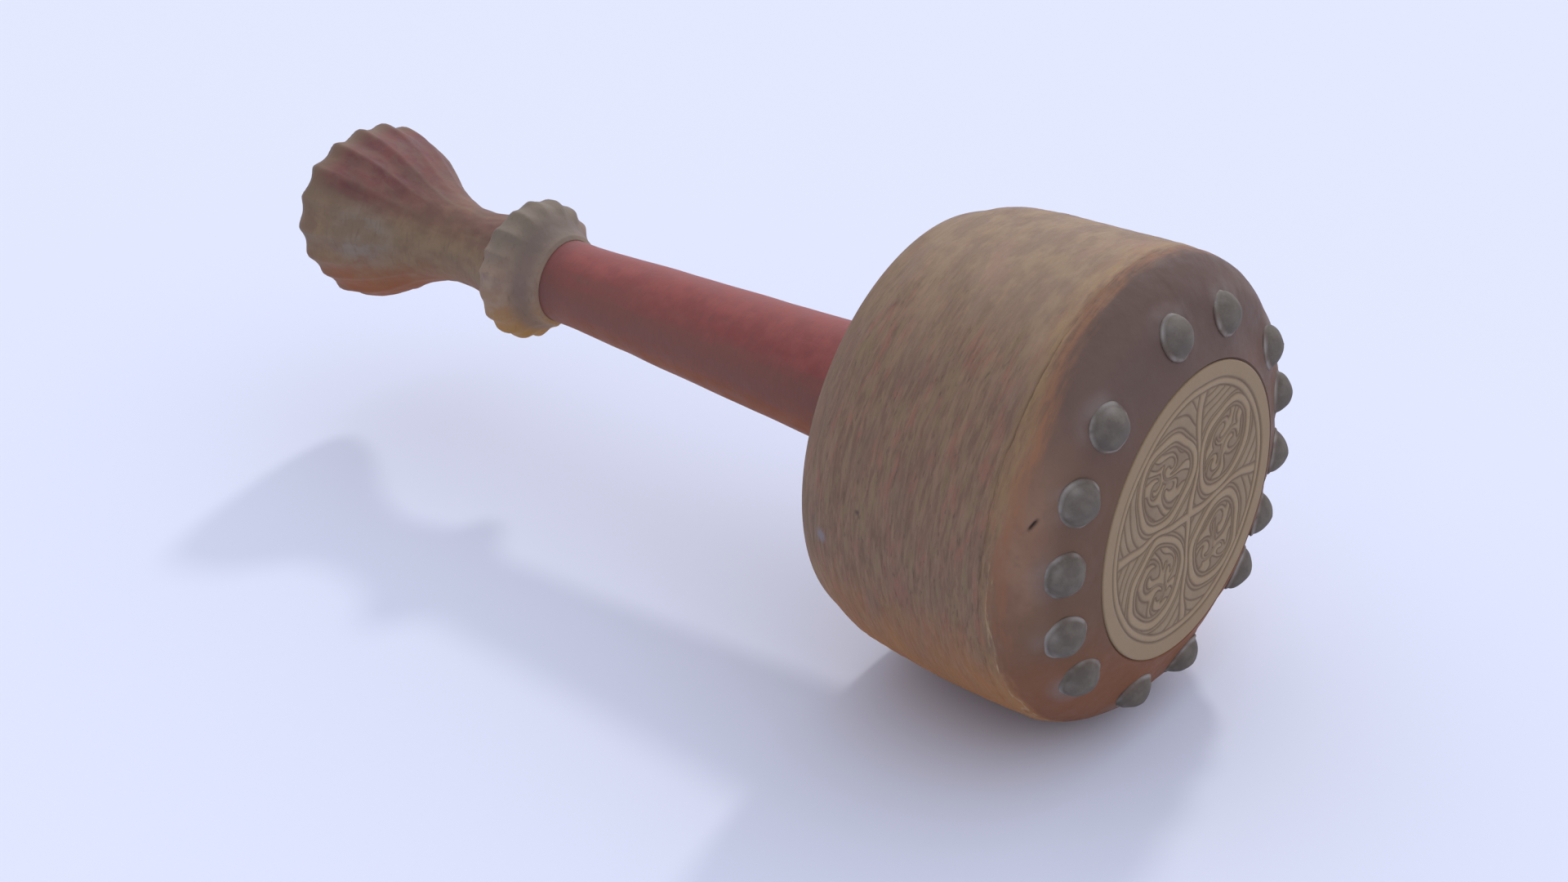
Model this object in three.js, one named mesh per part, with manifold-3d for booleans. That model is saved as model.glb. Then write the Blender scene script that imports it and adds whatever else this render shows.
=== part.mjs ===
// A hand drum on a handle: a short barrel-shaped head with a studded hide face,
// a turned grip, a fluted collar and a fluted pommel.
//
// Every turned piece shares one axis, which lies along X at the height of the head's
// radius. The face looks towards +X and the pommel ends the drum at -X. A "station" is
// the distance behind the front of the face, so station s lies at x = FACE_X - s.
// An outline is a list of [station, radius] points. Millimetres, +Z up.

import * as THREE from 'three';
import { mergeVertices } from 'three/addons/utils/BufferGeometryUtils.js';
import Module from 'manifold-3d';

// ---- driving dimensions ----

const LENGTH = 330.4;
const HEAD_RADIUS = 70.7;
const GAP = 0.3;
const FACE_X = LENGTH / 2;
const AXIS_Z = HEAD_RADIUS;

const HEAD_SEGMENTS = 48;
const GRIP_SEGMENTS = 32;
const SEGMENTS_PER_FLUTE = 6;

// Face: a thin round patch let into a seat in the hide.
const PATCH_RADIUS = 44.2;
const PATCH_THICKNESS = 0.9;
const PATCH_BEVEL = 0.3;
const SEAT_DEPTH = PATCH_THICKNESS + GAP;

// Hide: flat over the mouth, then down a shallow slope and over a rounded corner.
const HIDE_THICKNESS = 2.0;
const SLOPE_TOP = [0.3, 44.9];
const SLOPE_FOOT = [8.4, 62.3];
const HIDE_EDGE = 21.0;
const HIDE_EDGE_RADIUS = 70.2;

// Shoulder ring under the hide, with a spigot that plugs into the hoop.
const MOUTH_RADIUS = 40.5;
const SPIGOT_RADIUS = 61.2;
const SPIGOT_END = 34.0;

// Hoop: the barrel wall, widest just behind the hide.
const HOOP_FRONT = HIDE_EDGE + GAP;
const HOOP_BACK = 88.4;
const HOOP_BORE = SPIGOT_RADIUS + GAP;

// Back board let into the end of the hoop, and the hub block glued inside it.
const BOARD_FRONT = 76.0;
const BOARD_BACK = 90.1;
const HUB_FRONT = 62.0;
const HUB_RADIUS = 32.0;

// Grip with a wedged tenon in the head and a plain tenon in the pommel.
const HEAD_TENON_RADIUS = 13.0;
const HEAD_TENON_START = 60.0;
const GRIP_START = BOARD_BACK + GAP;
const GRIP_END = 238.6;
const REAR_TENON_RADIUS = 9.0;
const REAR_TENON_END = 300.0;
const SLOT_WIDTH = 3.0;
const SLOT_DEPTH = 20.0;
const WEDGE_LENGTH = 18.0;
const WEDGE_HEIGHT = 24.0;
const WEDGE_THICK_END = 2.4;
const WEDGE_THIN_END = 0.9;

// Collar and pommel: hollow flutes are carved round both. A turn is in degrees about the axis.
const COLLAR_START = 235.0;
const COLLAR_END = 257.4;
const COLLAR_FLUTES = 18;
const COLLAR_FLUTE_DEPTH = 1.3;
const COLLAR_TURN = -6;
const POMMEL_START = COLLAR_END + GAP;
const POMMEL_FLUTES = 18;
const POMMEL_FLUTE_DEPTH = 1.7;
const POMMEL_TURN = 6;
const FLUTES_START = 285.0;
const FLUTES_FULL = 315.0;

// Studs: domed nails driven through the hide, square to the slope. Each angle is
// measured from the top of the head towards +Y. They were set by eye, not evenly.
const STUD_ANGLES = [20, 55.5, 76.5, 97.5, 117, 135, 169, 196, 233, 253.5, 274.5, 295.5, 317.5, 353];
const STUD_RING_RADIUS = 56.0;
const STUD_RADIUS = 6.6;
const STUD_HEIGHT = 5.3;
const STUD_ROUNDNESS = 1.75;
const STUD_SEGMENTS = 12;
const DOME_STEPS = 4;
const SHANK_RADIUS = 1.2;
const SHANK_LENGTH = 11.0;
const SHANK_POINT = 2.5;
const NAIL_HOLE_RADIUS = 1.65;
const NAIL_HOLE_SIDES = 8;

// ---- materials ----

function material(color, roughness, metalness = 0) {
  return new THREE.MeshStandardMaterial({ color, roughness, metalness });
}

const FINISHES = {
  hide: () => material(0x5c4b48, 0.6),
  patch: () => material(0x94826f, 0.7),
  hoop: () => material(0x7a6151, 0.65),
  inner: () => material(0xa98a62, 0.8),
  iron: () => material(0x6a6763, 0.5, 0.6),
  grip: () => material(0x8c4444, 0.45),
  collar: () => material(0x77695c, 0.65),
  pommel: () => material(0x86564c, 0.6),
};

// ---- outlines ----

function smooth(points, steps) {
  const curve = new THREE.SplineCurve(points.map(([station, radius]) => new THREE.Vector2(station, radius)));
  return curve.getPoints(steps).map((point) => [point.x, point.y]);
}

// Moves an outline towards the inside of the piece by a depth measured square to it.
function inset(outline, depth) {
  return outline.map(([station, radius], index) => {
    const before = outline[Math.max(index - 1, 0)];
    const after = outline[Math.min(index + 1, outline.length - 1)];
    const along = new THREE.Vector2(after[0] - before[0], after[1] - before[1]).normalize();
    return [station + along.y * depth, radius - along.x * depth];
  });
}

// ---- solids ----

// Sweeps an outline about X. The outer wall runs from the face towards the pommel.
function turned(outline, segments) {
  const points = outline.map(([station, radius]) => new THREE.Vector2(radius, -station)).reverse();
  const geometry = new THREE.LatheGeometry(points, segments);
  geometry.rotateZ(-Math.PI / 2);
  geometry.translate(FACE_X, 0, AXIS_Z);
  return geometry;
}

// Pushes a turned piece's wall in and out, so that rounded hollows meet in narrow ridges, and
// then rotates the piece. depthAt gives the depth of the hollows for a station and a radius.
function addFlutes(geometry, count, turn, depthAt) {
  const meanOfHollow = 2 / Math.PI;
  const position = geometry.getAttribute('position');
  for (let index = 0; index < position.count; index += 1) {
    const y = position.getY(index);
    const z = position.getZ(index) - AXIS_Z;
    const radius = Math.hypot(y, z);
    const depth = depthAt(FACE_X - position.getX(index), radius);
    if (radius > 0 && depth > 0) {
      const ridge = meanOfHollow - Math.abs(Math.cos((count * Math.atan2(y, z)) / 2));
      const scale = (radius + depth * ridge) / radius;
      position.setY(index, y * scale);
      position.setZ(index, z * scale + AXIS_Z);
    }
  }
  geometry.translate(0, 0, -AXIS_Z);
  geometry.rotateX(-THREE.MathUtils.degToRad(turn));
  geometry.translate(0, 0, AXIS_Z);
  return geometry;
}

const wasm = await Module();
wasm.setup();

function toSolid(geometry) {
  const bare = geometry.clone();
  bare.deleteAttribute('normal');
  bare.deleteAttribute('uv');
  const merged = mergeVertices(bare, 1e-4);
  return new wasm.Manifold(new wasm.Mesh({
    numProp: 3,
    vertProperties: new Float32Array(merged.getAttribute('position').array),
    triVerts: new Uint32Array(merged.getIndex().array),
  }));
}

function toGeometry(solid) {
  const mesh = solid.getMesh();
  const geometry = new THREE.BufferGeometry();
  geometry.setAttribute('position', new THREE.BufferAttribute(new Float32Array(mesh.vertProperties), 3));
  geometry.setIndex(new THREE.BufferAttribute(new Uint32Array(mesh.triVerts), 1));
  geometry.computeVertexNormals();
  return geometry;
}

function cut(geometry, cutters) {
  let solid = toSolid(geometry);
  for (const cutter of cutters) {
    solid = solid.subtract(toSolid(cutter));
  }
  return toGeometry(solid);
}

// ---- where the studs stand ----

const SLOPE_ANGLE = Math.atan2(SLOPE_FOOT[0] - SLOPE_TOP[0], SLOPE_FOOT[1] - SLOPE_TOP[1]);
const STUD_STATION = SLOPE_TOP[0] + (STUD_RING_RADIUS - SLOPE_TOP[1]) * Math.tan(SLOPE_ANGLE);

// Turns and moves a shape made upright on Y so that its base stands on the slope.
function standOnSlope(geometry, degrees) {
  const angle = THREE.MathUtils.degToRad(degrees);
  const outward = new THREE.Vector3(0, Math.sin(angle), Math.cos(angle));
  const foot = outward.clone().multiplyScalar(STUD_RING_RADIUS);
  foot.add(new THREE.Vector3(FACE_X - STUD_STATION, 0, AXIS_Z));
  const normal = new THREE.Vector3(Math.cos(SLOPE_ANGLE), 0, 0);
  normal.addScaledVector(outward, Math.sin(SLOPE_ANGLE));
  geometry.applyQuaternion(new THREE.Quaternion().setFromUnitVectors(new THREE.Vector3(0, 1, 0), normal));
  geometry.translate(foot.x, foot.y, foot.z);
  return geometry;
}

function nailHoles() {
  const above = 3;
  const below = SHANK_LENGTH + GAP;
  return STUD_ANGLES.map((degrees) => {
    const length = above + below;
    const hole = new THREE.CylinderGeometry(NAIL_HOLE_RADIUS, NAIL_HOLE_RADIUS, length, NAIL_HOLE_SIDES);
    hole.translate(0, (above - below) / 2, 0);
    return standOnSlope(hole, degrees);
  });
}

// ---- pieces ----

const HIDE_OUTLINE = [
  SLOPE_TOP,
  ...smooth([SLOPE_FOOT, [12.4, 66.3], [17.0, 69.1], [HIDE_EDGE, HIDE_EDGE_RADIUS]], 6),
];

function underHide(depth) {
  return inset(HIDE_OUTLINE, depth).map(([station, radius]) => [Math.min(station, HIDE_EDGE), radius]);
}

function drumSkin() {
  const under = underHide(HIDE_THICKNESS);
  const outline = [
    [SEAT_DEPTH, 0],
    [SEAT_DEPTH, PATCH_RADIUS + GAP],
    ...HIDE_OUTLINE,
    ...under.reverse(),
    [under[under.length - 1][0], 0],
  ];
  return cut(turned(outline, HEAD_SEGMENTS), nailHoles());
}

function ornamentPatch() {
  const outline = [
    [0, 0],
    [0, PATCH_RADIUS - PATCH_BEVEL],
    [PATCH_BEVEL, PATCH_RADIUS],
    [PATCH_THICKNESS, PATCH_RADIUS],
    [PATCH_THICKNESS, 0],
  ];
  return turned(outline, HEAD_SEGMENTS);
}

function shoulderRing() {
  const lipFront = 2.5;
  const lip = [[8.0, MOUTH_RADIUS], [4.2, 41.2], [lipFront, 43.2]];
  const outline = [
    ...lip,
    ...underHide(HIDE_THICKNESS + GAP).map(([station, radius]) => [Math.max(station, lipFront), radius]),
    [HIDE_EDGE, SPIGOT_RADIUS],
    [SPIGOT_END, SPIGOT_RADIUS],
    [SPIGOT_END, 50.0],
    [26.0, MOUTH_RADIUS],
    lip[0],
  ];
  return cut(turned(outline, HEAD_SEGMENTS), nailHoles());
}

function shellHoop() {
  const barrel = [[HOOP_FRONT, 70.25], [25.2, HEAD_RADIUS], [42.0, 70.3], [63.0, 69.1], [76.2, 67.8]];
  const backEdge = [[82.9, 65.5], [HOOP_BACK, 62.5]];
  const outline = [
    [HOOP_FRONT, HOOP_BORE],
    ...smooth([...barrel, ...backEdge], 11),
    [HOOP_BACK, HOOP_BORE],
    [HOOP_FRONT, HOOP_BORE],
  ];
  return turned(outline, HEAD_SEGMENTS);
}

function backBoard() {
  const hole = HEAD_TENON_RADIUS + GAP;
  const chamfer = 1.7;
  const outline = [
    [BOARD_FRONT, hole],
    [BOARD_FRONT, SPIGOT_RADIUS],
    [BOARD_BACK - chamfer, SPIGOT_RADIUS],
    [BOARD_BACK, SPIGOT_RADIUS - chamfer],
    [BOARD_BACK, hole],
    [BOARD_FRONT, hole],
  ];
  return turned(outline, HEAD_SEGMENTS);
}

function hubBlock() {
  const hole = HEAD_TENON_RADIUS + GAP;
  const chamfer = 3;
  const back = BOARD_FRONT - GAP;
  const outline = [
    [HUB_FRONT, hole],
    [HUB_FRONT, HUB_RADIUS - chamfer],
    [HUB_FRONT + chamfer, HUB_RADIUS],
    [back, HUB_RADIUS],
    [back, hole],
    [HUB_FRONT, hole],
  ];
  return turned(outline, GRIP_SEGMENTS);
}

function grip() {
  const stem = smooth(
    [[GRIP_START, 20.9], [112, 19.8], [140, 18.1], [168, 16.6], [196, 15.3], [217, 14.3], [GRIP_END, 13.5]],
    8,
  );
  const outline = [
    [HEAD_TENON_START, 0],
    [HEAD_TENON_START, HEAD_TENON_RADIUS - 1],
    [HEAD_TENON_START + 2, HEAD_TENON_RADIUS],
    [GRIP_START, HEAD_TENON_RADIUS],
    ...stem,
    [GRIP_END, REAR_TENON_RADIUS],
    [REAR_TENON_END - 1, REAR_TENON_RADIUS],
    [REAR_TENON_END, REAR_TENON_RADIUS - 1],
    [REAR_TENON_END, 0],
  ];
  const slot = new THREE.BoxGeometry(2 * SLOT_DEPTH, SLOT_WIDTH, 4 * HEAD_TENON_RADIUS);
  slot.translate(FACE_X - HEAD_TENON_START, 0, AXIS_Z);
  return cut(turned(outline, GRIP_SEGMENTS), [slot]);
}

function tenonWedge() {
  const section = new THREE.Shape([
    new THREE.Vector2(0, -WEDGE_THICK_END / 2),
    new THREE.Vector2(0, WEDGE_THICK_END / 2),
    new THREE.Vector2(-WEDGE_LENGTH, WEDGE_THIN_END / 2),
    new THREE.Vector2(-WEDGE_LENGTH, -WEDGE_THIN_END / 2),
  ]);
  const geometry = new THREE.ExtrudeGeometry(section, { depth: WEDGE_HEIGHT, bevelEnabled: false });
  geometry.translate(FACE_X - HEAD_TENON_START, 0, AXIS_Z - WEDGE_HEIGHT / 2);
  return geometry;
}

function collar() {
  const socket = 13.8;
  const bore = REAR_TENON_RADIUS + GAP;
  const widest = 22.7;
  const socketEnd = GRIP_END + GAP;
  const dishedFront = [[COLLAR_START, socket + 1], [239.2, 16.5], [242.8, 19.1]];
  const rim = [[245.4, 21.8], [248.6, widest], [252.8, 22.0], [COLLAR_END, 17.4]];
  const outline = [
    [socketEnd, bore],
    [socketEnd, socket],
    [COLLAR_START, socket],
    ...smooth([...dishedFront, ...rim], 11),
    [COLLAR_END, bore],
    [socketEnd, bore],
  ];
  const geometry = turned(outline, COLLAR_FLUTES * SEGMENTS_PER_FLUTE);
  return addFlutes(geometry, COLLAR_FLUTES, COLLAR_TURN, (station, radius) => {
    return COLLAR_FLUTE_DEPTH * THREE.MathUtils.clamp((radius - socket - 1) / (widest - socket - 1), 0, 1);
  });
}

function pommel() {
  const bore = REAR_TENON_RADIUS + GAP;
  const neck = [[POMMEL_START, 16.4], [266, 14.3], [276, 13.2], [287, 14.8]];
  const bell = [[297, 18.8], [305, 24.0], [312, 27.2], [319, 29.0]];
  const rim = smooth([[325.0, 29.9], [328.8, 29.2], [LENGTH, 26.8]], 3);
  const socketEnd = REAR_TENON_END + GAP;
  const outline = [
    [socketEnd, 0],
    [socketEnd, bore],
    [POMMEL_START, bore],
    ...smooth([...neck, ...bell], 9),
    ...rim,
    [LENGTH, 0],
  ];
  const geometry = turned(outline, POMMEL_FLUTES * SEGMENTS_PER_FLUTE);
  return addFlutes(geometry, POMMEL_FLUTES, POMMEL_TURN, (station, radius) => {
    const onWall = radius > bore + GAP ? 1 : 0;
    return POMMEL_FLUTE_DEPTH * onWall * THREE.MathUtils.smoothstep(station, FLUTES_START, FLUTES_FULL);
  });
}

function stud(degrees) {
  const points = [
    new THREE.Vector2(0, -SHANK_LENGTH),
    new THREE.Vector2(SHANK_RADIUS, SHANK_POINT - SHANK_LENGTH),
    new THREE.Vector2(SHANK_RADIUS, GAP),
  ];
  for (let step = 0; step <= DOME_STEPS; step += 1) {
    const rise = Math.sin((step / DOME_STEPS) * (Math.PI / 2));
    const radius = STUD_RADIUS * (1 - rise ** STUD_ROUNDNESS) ** (1 / STUD_ROUNDNESS);
    points.push(new THREE.Vector2(step === DOME_STEPS ? 0 : radius, GAP + (STUD_HEIGHT - GAP) * rise));
  }
  return standOnSlope(new THREE.LatheGeometry(points, STUD_SEGMENTS), degrees);
}

// ---- assembly ----

const drum = new THREE.Group();

function add(name, geometry, finish) {
  const mesh = new THREE.Mesh(geometry, FINISHES[finish]());
  mesh.name = name;
  drum.add(mesh);
}

add('drum_skin', drumSkin(), 'hide');
add('ornament_patch', ornamentPatch(), 'patch');
add('shoulder_ring', shoulderRing(), 'inner');
add('shell_hoop', shellHoop(), 'hoop');
add('back_board', backBoard(), 'hoop');
add('hub_block', hubBlock(), 'inner');
add('grip', grip(), 'grip');
add('tenon_wedge', tenonWedge(), 'inner');
add('collar', collar(), 'collar');
add('pommel', pommel(), 'pommel');
STUD_ANGLES.forEach((degrees, index) => {
  add(`stud_${String(index + 1).padStart(2, '0')}`, stud(degrees), 'iron');
});

export default drum;
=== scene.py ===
"""Looks of the handled hand drum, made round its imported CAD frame. Metres, +Z up."""

import math

import bpy
import numpy as np
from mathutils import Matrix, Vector
from mathutils.bvhtree import BVHTree


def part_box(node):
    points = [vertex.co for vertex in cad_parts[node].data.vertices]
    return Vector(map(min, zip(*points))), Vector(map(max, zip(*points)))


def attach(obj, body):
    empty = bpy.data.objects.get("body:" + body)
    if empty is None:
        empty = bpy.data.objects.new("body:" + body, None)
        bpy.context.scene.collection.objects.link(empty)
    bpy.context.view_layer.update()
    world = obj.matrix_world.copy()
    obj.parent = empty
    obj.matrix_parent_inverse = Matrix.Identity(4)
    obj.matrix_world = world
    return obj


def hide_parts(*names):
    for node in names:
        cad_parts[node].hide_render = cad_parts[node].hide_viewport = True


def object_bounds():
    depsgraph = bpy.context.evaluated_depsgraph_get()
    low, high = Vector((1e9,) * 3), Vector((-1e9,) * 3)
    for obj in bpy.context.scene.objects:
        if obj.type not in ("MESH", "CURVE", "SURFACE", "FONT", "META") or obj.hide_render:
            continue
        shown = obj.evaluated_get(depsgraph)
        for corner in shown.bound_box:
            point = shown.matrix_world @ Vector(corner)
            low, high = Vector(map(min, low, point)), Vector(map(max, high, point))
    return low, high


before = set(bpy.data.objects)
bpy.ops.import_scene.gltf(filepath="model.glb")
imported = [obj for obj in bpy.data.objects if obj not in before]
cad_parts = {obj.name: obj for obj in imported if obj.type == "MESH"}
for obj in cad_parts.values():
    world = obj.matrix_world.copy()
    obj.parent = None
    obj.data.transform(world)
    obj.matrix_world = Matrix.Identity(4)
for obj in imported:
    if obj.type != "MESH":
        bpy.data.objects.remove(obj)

MM = 0.001
CAD_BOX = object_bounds()

# ---- measures taken from the frame ----
# A station is the distance behind the front of the face, along the drum's axis.

FACE_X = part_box("ornament_patch")[1].x
AXIS_Z = sum(corner.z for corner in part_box("grip")) / 2
FLOOR_Z = CAD_BOX[0].z


def up(height):
    """The height that lies a number of millimetres above the drum's axis."""
    return AXIS_Z + height * MM


# A distance from the axis that no part of the drum reaches.
CLEAR_OF_DRUM = 200 * MM


def span(node):
    """The stations where a CAD node starts and ends."""
    low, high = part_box(node)
    return FACE_X - high.x, FACE_X - low.x


def wall(node, stations, choose=max, outside=True, turns=48):
    """Radius of a CAD node's outer or inner wall at each station.

    It is measured in several directions round the axis, and one value is chosen from them.
    """
    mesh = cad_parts[node].data
    tree = BVHTree.FromPolygons([v.co for v in mesh.vertices], [p.vertices for p in mesh.polygons])
    radii = []
    for station in stations:
        centre = Vector((FACE_X - station, 0, AXIS_Z))
        found = []
        for turn in range(turns):
            angle = 2 * math.pi * turn / turns
            outward = Vector((0, math.sin(angle), math.cos(angle)))
            if outside:
                hit = tree.ray_cast(centre + outward * CLEAR_OF_DRUM, -outward)[0]
            else:
                hit = tree.ray_cast(centre, outward)[0]
            if hit is not None:
                found.append((hit - centre).length)
        radii.append(float(choose(found)))
    return np.array(radii)


# ---- camera, floor and light ----

# The camera: its place from the middle of the drum's face, the way it looks, and its lens and
# sensor in millimetres.
CAMERA_FROM_FACE = Vector((0.3128, -0.5735, 0.3851))
CAMERA_LOOK = Vector((-0.5433, 0.6811, -0.4909))
LENS = 61.75
SENSOR_WIDTH = 36

FLOOR_HALF = 4.0
FLOOR_COLOUR = (0.72, 0.75, 0.86, 1)

# The studio's brightest direction, its light there, and its light on the other side.
BRIGHT_SIDE = (0.05, 0.75, 0.66)
BRIGHT_LIGHT = (1.17, 1.21, 1.39, 1)
DIM_LIGHT = (0.21, 0.205, 0.21, 1)

# The soft lamp: the way its light goes, its strength, colour and width in degrees.
LAMP_LOOK = Vector((0.22, -0.72, -0.66))
LAMP_STRENGTH = 0.75
LAMP_COLOUR = (1.0, 0.98, 0.95)
LAMP_WIDTH = 6


def placed(name, data, look=None):
    """A new object in the scene, turned to look in a direction if one is given."""
    thing = bpy.data.objects.new(name, data)
    if look:
        thing.rotation_mode = "QUATERNION"
        thing.rotation_quaternion = look.to_track_quat("-Z", "Y")
    bpy.context.scene.collection.objects.link(thing)
    return thing


def make_camera():
    """The camera that the drum is seen through."""
    data = bpy.data.cameras.new("camera")
    data.sensor_width = SENSOR_WIDTH
    data.lens = LENS
    camera = placed("camera", data, CAMERA_LOOK)
    camera.location = Vector((FACE_X, 0, AXIS_Z)) + CAMERA_FROM_FACE
    bpy.context.scene.camera = camera


def make_floor():
    """A pale, matt floor that reaches well past the view."""
    corners = ((-1, -1), (1, -1), (1, 1), (-1, 1))
    vertices = [(x * FLOOR_HALF, y * FLOOR_HALF, FLOOR_Z) for x, y in corners]
    mesh = bpy.data.meshes.new("floor")
    mesh.from_pydata(vertices, [], [(0, 1, 2, 3)])
    material = bpy.data.materials.new("floor")
    material.use_nodes = True
    shader = material.node_tree.nodes["Principled BSDF"]
    shader.inputs["Base Color"].default_value = FLOOR_COLOUR
    shader.inputs["Roughness"].default_value = 0.9
    shader.inputs["Specular IOR Level"].default_value = 0.1
    mesh.materials.append(material)
    placed("floor", mesh)


def add_node(tree, kind, inputs, **settings):
    """A new node in a tree, with its inputs linked to other nodes or set to a value."""
    node = tree.nodes.new(kind)
    for name, value in settings.items():
        setattr(node, name, value)
    for name, value in inputs.items():
        if isinstance(value, bpy.types.NodeSocket):
            tree.links.new(value, node.inputs[name])
        else:
            node.inputs[name].default_value = value
    return node


def make_light():
    """A studio that is brightest above and behind the drum, and a soft lamp from there."""
    bpy.context.scene.view_settings.view_transform = "Standard"
    world = bpy.data.worlds.new("studio")
    bpy.context.scene.world = world
    world.use_nodes = True
    tree = world.node_tree
    direction = tree.nodes.new("ShaderNodeTexCoord").outputs["Generated"]
    dot = {0: direction, 1: BRIGHT_SIDE}
    toward = add_node(tree, "ShaderNodeVectorMath", dot, operation="DOT_PRODUCT").outputs["Value"]
    share = add_node(tree, "ShaderNodeMapRange", {"Value": toward, "From Min": -1}).outputs[0]
    ramp = add_node(tree, "ShaderNodeValToRGB", {"Fac": share})
    ramp.color_ramp.elements[0].color = DIM_LIGHT
    ramp.color_ramp.elements[1].color = BRIGHT_LIGHT
    tree.links.new(ramp.outputs["Color"], tree.nodes["Background"].inputs["Color"])
    sun = bpy.data.lights.new("key", "SUN")
    sun.energy = LAMP_STRENGTH
    sun.angle = math.radians(LAMP_WIDTH)
    sun.color = LAMP_COLOUR
    placed("key", sun, LAMP_LOOK)


# ---- random shapes that are the same on every run ----


class Lumps:
    """Smooth random heights in space, about -1 to 1."""

    def __init__(self, seed, size=32):
        self.size = size
        self.table = np.random.default_rng(seed).uniform(-1, 1, (size, size, size))

    def at(self, points, cell):
        """Heights at an array of points, for lumps of a size or of a size per axis."""
        place = points / np.asarray(cell, float)
        base = np.floor(place).astype(int)
        part = place - base
        part = part * part * (3 - 2 * part)
        total = 0.0
        for corner in np.ndindex(2, 2, 2):
            index = (base + corner) % self.size
            share = np.prod(np.where(corner, part, 1 - part), axis=-1)
            total = total + share * self.table[index[..., 0], index[..., 1], index[..., 2]]
        return total

    def rough(self, points, cell, octaves=3):
        """Lumps with finer lumps on them, each layer shifted away from the last."""
        cell = np.asarray(cell, float)
        return sum(self.at(points + 7.3 * n * cell, cell / 2**n) / 2**n for n in range(octaves))


# ---- meshes ----

# Edges where the surface turns by more than this many degrees are drawn as corners.
CORNER = 55


def make_piece(name, points, faces, material, slot, node, **marks):
    """A closed mesh that rides with the drum and stands for its CAD node.

    A mark is a number for each vertex, which the material reads by the mark's name.
    """
    mesh = bpy.data.meshes.new(name)
    mesh.from_pydata(points.tolist(), [], faces)
    mesh.polygons.foreach_set("use_smooth", np.ones(len(mesh.polygons), bool))
    mesh.set_sharp_from_angle(angle=math.radians(CORNER))
    mesh.materials.append(material)
    mesh.update()
    for mark, values in marks.items():
        layer = mesh.attributes.new(mark, "FLOAT", "POINT")
        layer.data.foreach_set("value", np.asarray(values, np.float32))
    piece = placed(name, mesh)
    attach(piece, "root")
    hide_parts(node)


def spaced(outline, step):
    """An outline with points at even steps along it, and its corners kept."""
    result = [outline[0]]
    for start, end in zip(outline[:-1], outline[1:]):
        count = max(1, round(math.dist(start, end) / step))
        for n in range(1, count + 1):
            result.append([a + (b - a) * n / count for a, b in zip(start, end)])
    return result


def unrolled(rows, closed):
    """Rows of values as one list. Unless they are closed, each end row is a single value."""
    if closed:
        return np.concatenate(rows)
    return np.concatenate([*rows[1:-1], rows[0, :1], rows[-1, :1]])


def skin(points, closed=False):
    """Vertices and faces over rows of points that run round an axis.

    If they are closed, the last row is joined to the first. Otherwise the first row and the last
    lie on the axis, and each becomes a single vertex.
    """
    segments = points.shape[1]
    rings = len(points) if closed else len(points) - 2
    here = np.arange(segments)
    after = np.roll(here, -1)
    faces = []
    for ring in range(rings if closed else rings - 1):
        a, b = ring * segments, (ring + 1) % rings * segments
        faces += np.stack([a + after, b + after, b + here, a + here], axis=1).tolist()
    if not closed:
        last, pole = (rings - 1) * segments, rings * segments
        faces += [[j, i, pole] for i, j in zip(here, after)]
        faces += [[last + i, last + j, pole + 1] for i, j in zip(here, after)]
    return unrolled(points, closed), faces


def around(angle):
    """Points at a distance of 1 from the X axis, one for each angle from the top towards +Y."""
    return np.stack([np.zeros_like(angle), np.sin(angle), np.cos(angle)], axis=-1)


class Turned:
    """A surface turned about the drum's axis, before and after relief is added.

    The outline is a list of [station, radius]. It runs from the axis to the axis, or round to
    its own start. Its outer wall runs from the face towards the pommel.
    """

    def __init__(self, outline, segments):
        outline = np.array(outline, float)
        self.closed = outline[0, 1] > 0
        if self.closed:
            outline = outline[:-1]
        self.station, self.radius = outline.T[..., None] + np.zeros(segments)
        self.angle = np.zeros(len(outline))[:, None] + np.arange(segments) * 2 * math.pi / segments
        if self.closed:
            along = np.roll(outline, -1, 0) - np.roll(outline, 1, 0)
        else:
            along = np.gradient(outline, axis=0)
        along /= np.linalg.norm(along, axis=1)[:, None] + 1e-12
        self.out_station = -along[:, 1][:, None]
        self.out_radius = along[:, 0][:, None]

    def points(self):
        """Where the surface is, as an array with one row per outline point."""
        points = self.radius[..., None] * around(self.angle)
        points[..., 0] = FACE_X - self.station
        points[..., 2] += AXIS_Z
        return points

    def past(self, low, high):
        """0 up to the station low, and 1 from the station high."""
        return rise(self.station, low, high)

    def push(self, amount):
        """Moves the surface outwards, square to the outline."""
        self.station = self.station + amount * self.out_station
        self.radius = self.radius + amount * self.out_radius

    def make(self, name, material, slot, node, **marks):
        """Makes a piece of the surface, with marks whose arrays are shaped like it."""
        for mark, array in marks.items():
            marks[mark] = unrolled(array + np.zeros(self.radius.shape), self.closed)
        make_piece(name, *skin(self.points(), self.closed), material, slot, node, **marks)


# ---- outlines read from the frame ----

# The play between pieces that fit into each other.
GAP = 0.3 * MM

# How many segments a turned surface has round the axis.
HEAD_SEGMENTS = 640
PATCH_SEGMENTS = 720
HANDLE_SEGMENTS = 432
NAIL_SEGMENTS = 40


def soften(values, count):
    """Evens out a list of values with their neighbours, and keeps the two ends."""
    padded = np.pad(values, count, mode="reflect", reflect_type="odd")
    kernel = np.hanning(2 * count + 3)[1:-1]
    return np.convolve(padded, kernel / kernel.sum(), mode="valid")


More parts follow.
